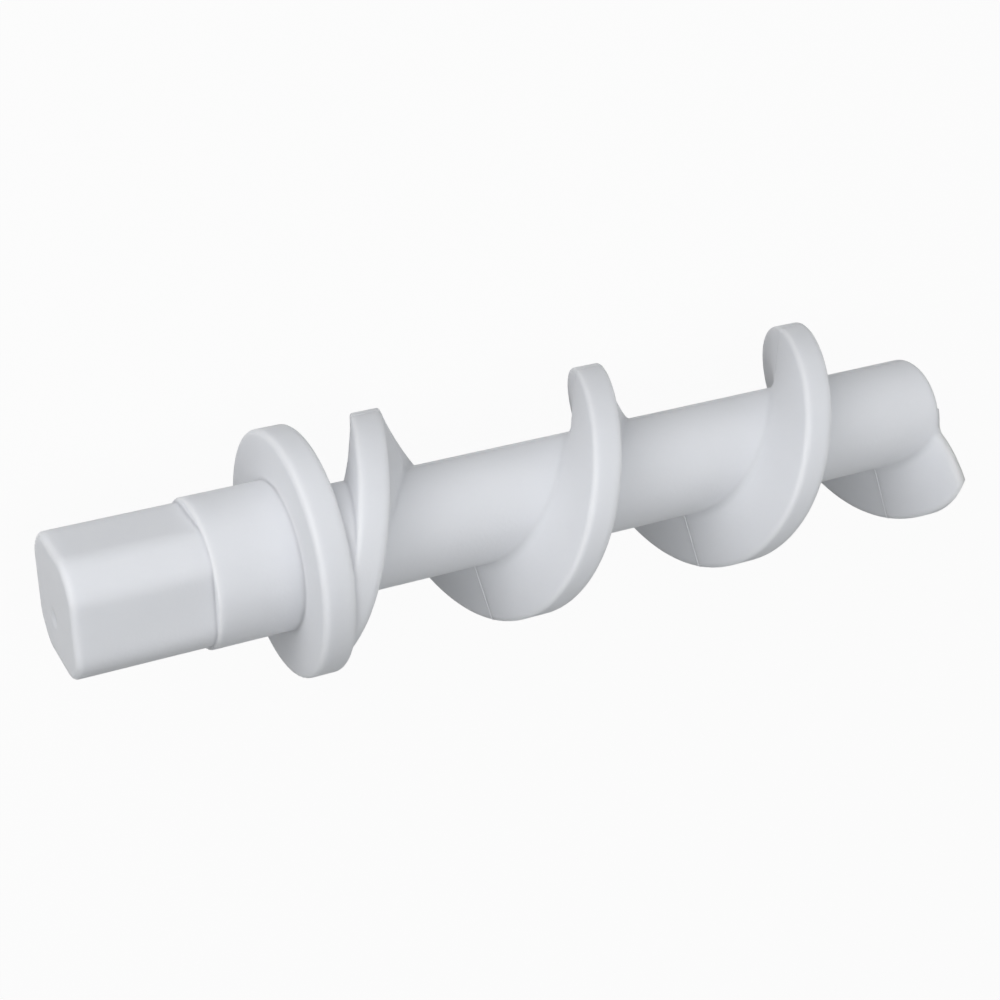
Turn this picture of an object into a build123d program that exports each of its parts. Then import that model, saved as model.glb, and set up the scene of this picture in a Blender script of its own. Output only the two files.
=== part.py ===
from build123d import *
from math import cos, radians, sqrt, tan
import os

# Auger of a tomato press, moulded as one piece of white plastic.
# Its axis lies along X and +Z is up. The collar's thrust face is at X = 0: the journal and the
# square drive end lie on the minus side of it, the screw on the plus side.

# Driving dimensions, in millimetres and degrees
square_across_flats = 26.0
square_corner_diameter = 29.6
square_corner_blend_share = 0.7
square_length = 27.9
square_end_rounding = 1.2

gate_mark_diameter = 3.8
gate_mark_depth = 0.7
gate_mark_y = -3.5
gate_mark_z = -1.5
gate_sphere_turn = 180.0

journal_diameter = 31.0
journal_length = 17.6
journal_edge_rounding = 0.4

collar_diameter = 51.4
collar_thickness = 6.9
collar_edge_rounding = 1.0
collar_root_fillet = 2.0

shaft_diameter = 23.5
screw_length = 150.4
shaft_end_rounding = 0.8

flight_diameter = 50.0
flight_lead = 51.9
flight_crest_width = 6.3
flight_collar_draft = 12.0
flight_end_draft = 17.0
flight_crest_rounding = 0.7
flight_root_fillet = 1.8
flight_end_chamfer = 1.0

# Angle about +X, counted from +Y towards +Z, at which the crest's middle leaves the collar
flight_start_angle = 97.5

# Run-in: the channel's floor rises between the collar and the flight's start, on an eccentric cylinder
run_in_diameter = 28.2
run_in_offset = 10.5
run_in_angle = 74.6
run_in_end_angle = 78.0
run_in_length = 8.3
run_in_slope = 0.1

# The flight's root fillet meets the shaft at this slight angle, and the flight is sunk this deep in it
flight_toe_angle = 20.0
flight_sink = 2.0

# Places along the axis
square_end_x = -journal_length - square_length
screw_end_x = collar_thickness + screw_length

# Radii
square_corner_radius = square_corner_diameter / 2
journal_radius = journal_diameter / 2
collar_radius = collar_diameter / 2
shaft_radius = shaft_diameter / 2
flight_radius = flight_diameter / 2

# The square's flats run into its corners in a share of the largest blend that fits between them
largest_corner_blend = (square_across_flats / sqrt(2) - square_corner_radius) / (sqrt(2) - 1)
square_corner_blend = square_corner_blend_share * largest_corner_blend

# Turned envelope that the flight is cut to, clear of its crest
envelope_clearance = 1.0
envelope_radius = flight_radius + envelope_clearance
envelope_start_x = collar_thickness / 2
envelope_chamfer = flight_end_chamfer + envelope_clearance

# The flight's section, upright at the top of the screw
helix_start_angle = 90.0
toe_radius = shaft_radius - flight_root_fillet * (1 - cos(radians(flight_toe_angle)))
base_radius = shaft_radius - flight_sink
half_crest = flight_crest_width / 2
toe_width = 2 * flight_root_fillet
flank_height = flight_radius - toe_radius
collar_side_root = half_crest + flank_height * tan(radians(flight_collar_draft))
end_side_root = half_crest + flank_height * tan(radians(flight_end_draft))

# The helix starts one lead before it first stands upright on the screw, and runs past the screw's end
crest_at_top_x = collar_thickness + flight_lead * (flight_start_angle - helix_start_angle) / 360
helix_start_x = crest_at_top_x - flight_lead
collar_side_x = helix_start_x - collar_side_root
end_side_x = helix_start_x + end_side_root
helix_length = screw_end_x + collar_side_root + toe_width - helix_start_x


def nearest_corner(sketch, along, radius):
    """The vertex of a profile that lies nearest to a place along the axis and a radius."""
    return sketch.vertices().sort_by_distance((along, radius, 0))[0]


# Screw flight: a drafted section with rounded crest and root, swept along a left-hand helix
with BuildPart() as flight:
    with BuildLine() as flight_path:
        Helix(
            pitch=flight_lead,
            height=helix_length,
            radius=flight_radius,
            center=(helix_start_x, 0, 0),
            direction=(1, 0, 0),
            lefthand=True,
        )
    with BuildSketch(Plane.XZ) as flight_section:
        with BuildLine():
            Polyline(
                (collar_side_x - toe_width, base_radius),
                (collar_side_x - toe_width, toe_radius),
                (collar_side_x, toe_radius),
                (helix_start_x - half_crest, flight_radius),
                (helix_start_x + half_crest, flight_radius),
                (end_side_x, toe_radius),
                (end_side_x + toe_width, toe_radius),
                (end_side_x + toe_width, base_radius),
                close=True,
            )
        make_face()
        section = flight_section.sketch_local
        root_corners = [nearest_corner(section, along, toe_radius) for along in (collar_side_x, end_side_x)]
        fillet(root_corners, radius=flight_root_fillet)
        fillet(flight_section.sketch_local.vertices().group_by(Axis.Y)[-1], radius=flight_crest_rounding)
    sweep(path=flight_path.line, is_frenet=True)

    # It starts inside the collar and ends flush with the shaft, where its outer edge is chamfered
    with BuildSketch(Plane.XZ):
        with BuildLine():
            Polyline(
                (envelope_start_x, 0),
                (envelope_start_x, envelope_radius),
                (screw_end_x - envelope_chamfer, envelope_radius),
                (screw_end_x, envelope_radius - envelope_chamfer),
                (screw_end_x, 0),
                close=True,
            )
        make_face()
    revolve(axis=Axis.X, mode=Mode.INTERSECT)

# Run-in of the channel, from inside the collar to inside the flight's side
with BuildPart() as run_in:
    with BuildSketch(Plane.YZ.offset(envelope_start_x)):
        with PolarLocations(run_in_offset, 1, start_angle=run_in_angle):
            Circle(run_in_diameter / 2)
        with Locations(Rotation(0, 0, run_in_end_angle)):
            Rectangle(flight_diameter, flight_diameter, align=(Align.CENTER, Align.MAX), mode=Mode.INTERSECT)
    extrude(amount=collar_thickness + run_in_length - envelope_start_x)
    run_in_end = Plane(origin=(collar_thickness + run_in_length, 0, 0), z_dir=(1, 0, run_in_slope))
    split(bisect_by=run_in_end, keep=Keep.BOTTOM)

# Whole auger: turned core, square drive end and flight in one solid
with BuildPart() as auger:
    with BuildSketch(Plane.XZ) as core_profile:
        with BuildLine():
            Polyline(
                (-journal_length, 0),
                (-journal_length, journal_radius),
                (0, journal_radius),
                (0, collar_radius),
                (collar_thickness, collar_radius),
                (collar_thickness, shaft_radius),
                (screw_end_x, shaft_radius),
                (screw_end_x, 0),
                close=True,
            )
        make_face()
        profile = core_profile.sketch_local
        fillet(nearest_corner(profile, -journal_length, journal_radius), radius=journal_edge_rounding)
        profile = core_profile.sketch_local
        rim_corners = [nearest_corner(profile, along, collar_radius) for along in (0, collar_thickness)]
        fillet(rim_corners, radius=collar_edge_rounding)
        profile = core_profile.sketch_local
        fillet(nearest_corner(profile, collar_thickness, shaft_radius), radius=collar_root_fillet)
        profile = core_profile.sketch_local
        fillet(nearest_corner(profile, screw_end_x, shaft_radius), radius=shaft_end_rounding)
    revolve(axis=Axis.X)

    # Square drive end: four flats, with corners on a cylinder a little slimmer than the journal
    with BuildSketch(Plane.YZ.offset(-journal_length)) as square_section:
        Rectangle(square_across_flats, square_across_flats)
        Circle(square_corner_radius, mode=Mode.INTERSECT)
        fillet(square_section.sketch_local.vertices(), radius=square_corner_blend)
    extrude(amount=-square_length)
    fillet(auger.faces().sort_by(Axis.X)[0].edges(), radius=square_end_rounding)

    # Gate mark: a shallow round dimple in the end face of the square, its sphere turned seam outwards
    gate_sphere_radius = ((gate_mark_diameter / 2) ** 2 + gate_mark_depth ** 2) / (2 * gate_mark_depth)
    with Locations((square_end_x + gate_mark_depth - gate_sphere_radius, gate_mark_y, gate_mark_z)):
        Sphere(gate_sphere_radius, rotation=(0, 0, gate_sphere_turn), mode=Mode.SUBTRACT)

    add(flight.part)
    add(run_in.part)

auger.part.label = "auger"

os.makedirs("parts", exist_ok=True)
export_step(auger.part, "parts/auger.step")
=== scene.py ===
"""Tomato press auger in milky white plastic, lying on a pale floor in soft studio light."""
from math import cos, hypot, pi, radians, sin, tan

import bmesh
import bpy
from mathutils import Matrix, Vector


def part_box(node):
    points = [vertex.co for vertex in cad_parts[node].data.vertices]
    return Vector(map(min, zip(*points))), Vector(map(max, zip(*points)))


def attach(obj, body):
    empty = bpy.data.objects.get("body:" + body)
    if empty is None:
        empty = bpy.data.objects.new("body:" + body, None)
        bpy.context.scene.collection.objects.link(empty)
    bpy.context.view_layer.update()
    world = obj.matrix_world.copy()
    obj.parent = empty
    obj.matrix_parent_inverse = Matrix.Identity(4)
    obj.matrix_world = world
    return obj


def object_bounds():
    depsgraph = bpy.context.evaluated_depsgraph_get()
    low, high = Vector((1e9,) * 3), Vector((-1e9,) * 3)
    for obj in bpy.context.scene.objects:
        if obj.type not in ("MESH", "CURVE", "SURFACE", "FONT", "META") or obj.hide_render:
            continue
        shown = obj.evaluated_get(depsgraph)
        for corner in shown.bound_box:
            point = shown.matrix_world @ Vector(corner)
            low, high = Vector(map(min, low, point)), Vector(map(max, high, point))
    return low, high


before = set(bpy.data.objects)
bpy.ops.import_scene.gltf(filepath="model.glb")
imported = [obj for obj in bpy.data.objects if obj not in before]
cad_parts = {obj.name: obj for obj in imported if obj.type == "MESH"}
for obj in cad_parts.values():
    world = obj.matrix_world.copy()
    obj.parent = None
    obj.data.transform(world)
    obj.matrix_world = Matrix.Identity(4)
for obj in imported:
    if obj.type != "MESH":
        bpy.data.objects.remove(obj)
cad_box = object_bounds()

MM = 0.001

# Screw sizes that the witness lines follow, in metres and degrees
shaft_radius = 11.75 * MM
flight_radius = 25.0 * MM
flight_lead = 51.9 * MM
flight_crest_width = 6.3 * MM
flight_collar_draft = 12.0
flight_end_draft = 17.0
flight_crest_rounding = 0.7 * MM
flight_root_fillet = 1.8 * MM
flight_toe_angle = 20.0
flight_start_angle = 97.5
flight_end_chamfer = 1.0 * MM
collar_thickness = 6.9 * MM
collar_root_fillet = 2.0 * MM
screw_end_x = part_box("auger")[1][0]

# Mould witness lines: thin raised seams in half planes of the axis, as angle and height
witness_heights = {166.5: 0.10 * MM, 256.5: 0.06 * MM, 346.5: 0.06 * MM}
witness_width = 0.5 * MM
witness_sink = 0.05 * MM

# A witness line's section, in shares of its width and height
ridge_foot = 0.5
ridge_shoulder = 0.3
ridge_shoulder_height = 0.7

# Steps in which a witness line follows the flight's section
arc_steps = 6
flank_steps = 6

# Plastic
plastic_pale = (0.755, 0.765, 0.795, 1.0)
plastic_deep = (0.715, 0.725, 0.755, 1.0)
plastic_roughness = (0.58, 0.70)
plastic_ior = 1.5
cloud_size = 14 * MM
cloud_detail = 3.0
grain_size = 0.7 * MM
grain_detail = 2.0
grain_depth = 0.02 * MM
soft_edge_radius = 2.0 * MM
soft_edge_samples = 6
subsurface_share = 1.0
subsurface_depth = 2.5 * MM
subsurface_radius = (1.0, 1.0, 1.0)

# Floor and background
floor_half_width = 4.0
floor_colour = (0.50, 0.50, 0.50, 1.0)
background_white = (1.0, 1.0, 1.0, 1.0)
floor_white_share = 0.95
ambient_colour = (0.945, 1.0, 1.0, 1.0)
ambient_strength = 0.16

# Softboxes: the picture's right, up and towards its viewer, and the power in watts
softbox_distance = 1.0
softbox_size = 0.8
softboxes = {
    "left": ((-1.0, 0.15, 0.35), 1.4),
    "top": ((0.0, 1.0, 0.15), 1.9),
    "front": ((0.0, 0.1, 1.0), 3.5),
    "left_top": ((-0.75, 0.75, 0.15), 4.2),
    "left_top_front": ((-0.6, 0.55, 0.6), 2.4),
    "right_front": ((0.75, 0.1, 0.7), 1.2),
}

# Camera: the picture's upright is +Y here, and its viewer's side is +Z
camera_target = Vector((50.54, 0.78, 0.0)) * MM
camera_distance = 420 * MM
camera_azimuth = 26.9
camera_elevation = 27.06
camera_lens = 71.46
camera_sensor = 36.0
picture_up = Vector((0, 1, 0))


def from_picture(right, up, front):
    """A direction given as the picture's right, up and towards its viewer, in the auger's frame."""
    return Vector((right, up, front))


# Plastic material

def plastic_material(name, milky):
    """Semi-matte plastic with faint clouds and a fine grain.

    Milky plastic also lets light in and has soft edges.
    """
    material = bpy.data.materials.new(name)
    material.use_nodes = True
    nodes = material.node_tree.nodes
    links = material.node_tree.links
    shader = nodes["Principled BSDF"]
    place = nodes.new("ShaderNodeTexCoord")

    clouds = nodes.new("ShaderNodeTexNoise")
    clouds.inputs["Scale"].default_value = 1 / cloud_size
    clouds.inputs["Detail"].default_value = cloud_detail
    links.new(place.outputs["Object"], clouds.inputs["Vector"])

    tint = nodes.new("ShaderNodeMix")
    tint.data_type = "RGBA"
    tint.inputs["A"].default_value = plastic_deep
    tint.inputs["B"].default_value = plastic_pale
    links.new(clouds.outputs["Fac"], tint.inputs["Factor"])
    links.new(tint.outputs["Result"], shader.inputs["Base Color"])

    grain = nodes.new("ShaderNodeTexNoise")
    grain.inputs["Scale"].default_value = 1 / grain_size
    grain.inputs["Detail"].default_value = grain_detail
    links.new(place.outputs["Object"], grain.inputs["Vector"])

    gloss = nodes.new("ShaderNodeMapRange")
    gloss.inputs["To Min"].default_value = plastic_roughness[0]
    gloss.inputs["To Max"].default_value = plastic_roughness[1]
    links.new(grain.outputs["Fac"], gloss.inputs["Value"])
    links.new(gloss.outputs["Result"], shader.inputs["Roughness"])

    bump = nodes.new("ShaderNodeBump")
    bump.inputs["Distance"].default_value = grain_depth
    links.new(grain.outputs["Fac"], bump.inputs["Height"])
    links.new(bump.outputs["Normal"], shader.inputs["Normal"])

    shader.inputs["IOR"].default_value = plastic_ior
    if milky:
        soft_edges = nodes.new("ShaderNodeBevel")
        soft_edges.samples = soft_edge_samples
        soft_edges.inputs["Radius"].default_value = soft_edge_radius
        links.new(soft_edges.outputs["Normal"], bump.inputs["Normal"])
        shader.inputs["Subsurface Weight"].default_value = subsurface_share
        shader.inputs["Subsurface Scale"].default_value = subsurface_depth
        shader.inputs["Subsurface Radius"].default_value = subsurface_radius
    return material


# Mould witness lines

def arc(centre, radius, start, end):
    """Points of an arc in the section's plane; the angles run from the radial direction towards minus x."""
    points = []
    for step in range(arc_steps + 1):
        angle = start + (end - start) * step / arc_steps
        points.append((centre[0] - radius * sin(angle), centre[1] + radius * cos(angle)))
    return points


def flight_side(draft):
    """One side of the flight's section, from its toe to its crest.

    Each point is a place along the axis, counted from the crest's middle, and a radius.
    """
    lean = radians(draft)
    turn = pi / 2 - lean
    toe = radians(flight_toe_angle)
    toe_radius = shaft_radius - flight_root_fillet * (1 - cos(toe))
    half_crest = flight_crest_width / 2
    root = half_crest + (flight_radius - toe_radius) * tan(lean)
    root_centre = (-root - flight_root_fillet * tan(turn / 2), toe_radius + flight_root_fillet)
    crest_centre = (
        -half_crest + flight_crest_rounding * tan(turn / 2),
        flight_radius - flight_crest_rounding,
    )
    points = arc(root_centre, flight_root_fillet, pi + toe, pi + turn)
    crest = arc(crest_centre, flight_crest_rounding, turn, 0)
    low, high = points[-1], crest[0]
    for step in range(1, flank_steps):
        share = step / flank_steps
        points.append((low[0] + (high[0] - low[0]) * share, low[1] + (high[1] - low[1]) * share))
    return points + crest


def screw_outline(angle):
    """The screw's outline in the half plane at an angle about the axis, from the collar to the free end."""
    before = flight_side(flight_collar_draft)
    after = [(-along, radius) for along, radius in reversed(flight_side(flight_end_draft))]
    start_x = collar_thickness + collar_root_fillet
    end_x = screw_end_x - flight_end_chamfer
    crest_x = collar_thickness + flight_lead * (flight_start_angle - angle) / 360
    while crest_x > start_x - flight_lead:
        crest_x -= flight_lead
    outline = []
    while crest_x < end_x + flight_lead:
        outline += [(crest_x + along, radius) for along, radius in before + after]
        crest_x += flight_lead
    return clipped(outline, start_x, end_x)


def clipped(outline, start_x, end_x):
    """The stretch of an outline between two places along the axis, with a point on each of them."""
    kept = []
    for (x0, r0), (x1, r1) in zip(outline[:-1], outline[1:]):
        for edge in (start_x, end_x):
            if x0 < edge < x1:
                kept.append((edge, r0 + (r1 - r0) * (edge - x0) / (x1 - x0)))
        if start_x < x1 < end_x:
            kept.append((x1, r1))
    return kept


def witness_ring(point, tangent, angle, top):
    """Section of a witness line at a point of the outline: a low rounded ridge, sunk into the surface."""
    x, radius = point
    rise = flight_lead / (2 * pi)
    shoulder = top * ridge_shoulder_height
    ridge = [
        (-ridge_foot, -witness_sink),
        (-ridge_shoulder, shoulder),
        (0, top),
        (ridge_shoulder, shoulder),
        (ridge_foot, -witness_sink),
    ]
    ring = []
    for across, height in ridge:
        turn = across * witness_width / hypot(radius, rise)
        c, s = cos(radians(angle) + turn), sin(radians(angle) + turn)
        along = Vector((tangent[0], tangent[1] * c, tangent[1] * s))
        round_screw = Vector((-rise, -radius * s, radius * c))
        outward = round_screw.cross(along).normalized()
        ring.append(Vector((x - rise * turn, radius * c, radius * s)) + outward * height)
    return ring


def witness_line(name, angle, top, material):
    """A closed thin ridge along the screw's outline in one half plane."""
    outline = screw_outline(angle)
    mesh = bmesh.new()
    rings = []
    for i, point in enumerate(outline):
        back, ahead = outline[max(i - 1, 0)], outline[min(i + 1, len(outline) - 1)]
        tangent = Vector((ahead[0] - back[0], ahead[1] - back[1])).normalized()
        rings.append([mesh.verts.new(p) for p in witness_ring(point, tangent, angle, top)])
    for ring, following in zip(rings[:-1], rings[1:]):
        for i in range(len(ring)):
            j = (i + 1) % len(ring)
            mesh.faces.new((ring[i], ring[j], following[j], following[i]))
    mesh.faces.new(rings[0])
    mesh.faces.new(list(reversed(rings[-1])))
    bmesh.ops.recalc_face_normals(mesh, faces=mesh.faces)
    for face in mesh.faces:
        face.smooth = True
    data = bpy.data.meshes.new(name)
    mesh.to_mesh(data)
    mesh.free()
    data.materials.append(material)
    line = bpy.data.objects.new(name, data)
    bpy.context.collection.objects.link(line)
    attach(line, "root")


# Floor, background and light

def background_ray(nodes, links):
    """1 for the rays that show the background: those of the camera, of reflections and through glass."""
    path = nodes.new("ShaderNodeLightPath")
    either = nodes.new("ShaderNodeMath")
    either.operation = "MAXIMUM"
    links.new(path.outputs["Is Camera Ray"], either.inputs[0])
    links.new(path.outputs["Is Glossy Ray"], either.inputs[1])
    any_ray = nodes.new("ShaderNodeMath")
    any_ray.operation = "MAXIMUM"
    links.new(either.outputs["Value"], any_ray.inputs[0])
    links.new(path.outputs["Is Transmission Ray"], any_ray.inputs[1])
    return any_ray.outputs["Value"]


def floor_material():
    """Pale matt floor that shows nearly white, with the auger's soft shadow on it."""
    material = bpy.data.materials.new("pale_floor")
    material.use_nodes = True
    nodes = material.node_tree.nodes
    links = material.node_tree.links
    nodes.clear()
    output = nodes.new("ShaderNodeOutputMaterial")
    matt = nodes.new("ShaderNodeBsdfDiffuse")
    matt.inputs["Color"].default_value = floor_colour
    white = nodes.new("ShaderNodeEmission")
    white.inputs["Color"].default_value = background_white
    share = nodes.new("ShaderNodeMath")
    share.operation = "MULTIPLY"
    share.inputs[1].default_value = floor_white_share
    links.new(background_ray(nodes, links), share.inputs[0])
    mix = nodes.new("ShaderNodeMixShader")
    links.new(share.outputs["Value"], mix.inputs["Fac"])
    links.new(matt.outputs["BSDF"], mix.inputs[1])
    links.new(white.outputs["Emission"], mix.inputs[2])
    links.new(mix.outputs["Shader"], output.inputs["Surface"])
    return material


def add_floor():
    """A wide level floor that the auger rests on."""
    lowest = cad_box[0].z
    half = floor_half_width
    corners = [(-half, -half, lowest), (half, -half, lowest), (half, half, lowest), (-half, half, lowest)]
    data = bpy.data.meshes.new("floor")
    data.from_pydata(corners, [], [(0, 1, 2, 3)])
    data.materials.append(floor_material())
    floor = bpy.data.objects.new("floor", data)
    bpy.context.collection.objects.link(floor)


def set_world():
    """Cool, even ambient light; the background itself shows white."""
    world = bpy.data.worlds.new("studio")
    bpy.context.scene.world = world
    world.use_nodes = True
    nodes = world.node_tree.nodes
    links = world.node_tree.links
    ambient = nodes["Background"]
    ambient.inputs["Color"].default_value = ambient_colour
    ambient.inputs["Strength"].default_value = ambient_strength
    white = nodes.new("ShaderNodeBackground")
    white.inputs["Color"].default_value = background_white
    mix = nodes.new("ShaderNodeMixShader")
    links.new(background_ray(nodes, links), mix.inputs["Fac"])
    links.new(ambient.outputs["Background"], mix.inputs[1])
    links.new(white.outputs["Background"], mix.inputs[2])
    links.new(mix.outputs["Shader"], nodes["World Output"].inputs["Surface"])


def add_softbox(name, direction, power):
    """A square lamp that faces the auger's middle from one direction."""
    data = bpy.data.lights.new(name, "AREA")
    data.size = softbox_size
    data.energy = power
    lamp = bpy.data.objects.new(name, data)
    bpy.context.collection.objects.link(lamp)
    lamp.location = camera_target + direction.normalized() * softbox_distance
    lamp.rotation_euler = direction.to_track_quat("Z", "Y").to_euler()


# Camera

def add_camera():
    """The camera at the photograph's place, looking at the auger's middle."""
    azimuth, elevation = radians(camera_azimuth), radians(camera_elevation)
    level = cos(elevation)
    back = from_picture(-sin(azimuth) * level, sin(elevation), cos(azimuth) * level)
    right = picture_up.cross(back).normalized()
    turned = Matrix((right, back.cross(right), back)).transposed().to_4x4()
    data = bpy.data.cameras.new("camera")
    data.lens = camera_lens
    data.sensor_width = camera_sensor
    camera = bpy.data.objects.new("camera", data)
    bpy.context.collection.objects.link(camera)
    camera.matrix_world = Matrix.Translation(camera_target + back * camera_distance) @ turned
    bpy.context.scene.camera = camera


plastic = plastic_material("milky_plastic", milky=True)
seam_plastic = plastic_material("seam_plastic", milky=False)
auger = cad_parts["auger"]
auger.data.materials.clear()
auger.data.materials.append(plastic)

for number, (angle, top) in enumerate(witness_heights.items(), start=1):
    witness_line(f"witness_line_{number}", angle, top, seam_plastic)

add_floor()
set_world()
for name, (direction, power) in softboxes.items():
    add_softbox(name, from_picture(*direction), power)
add_camera()
bpy.context.scene.view_settings.view_transform = "Standard"
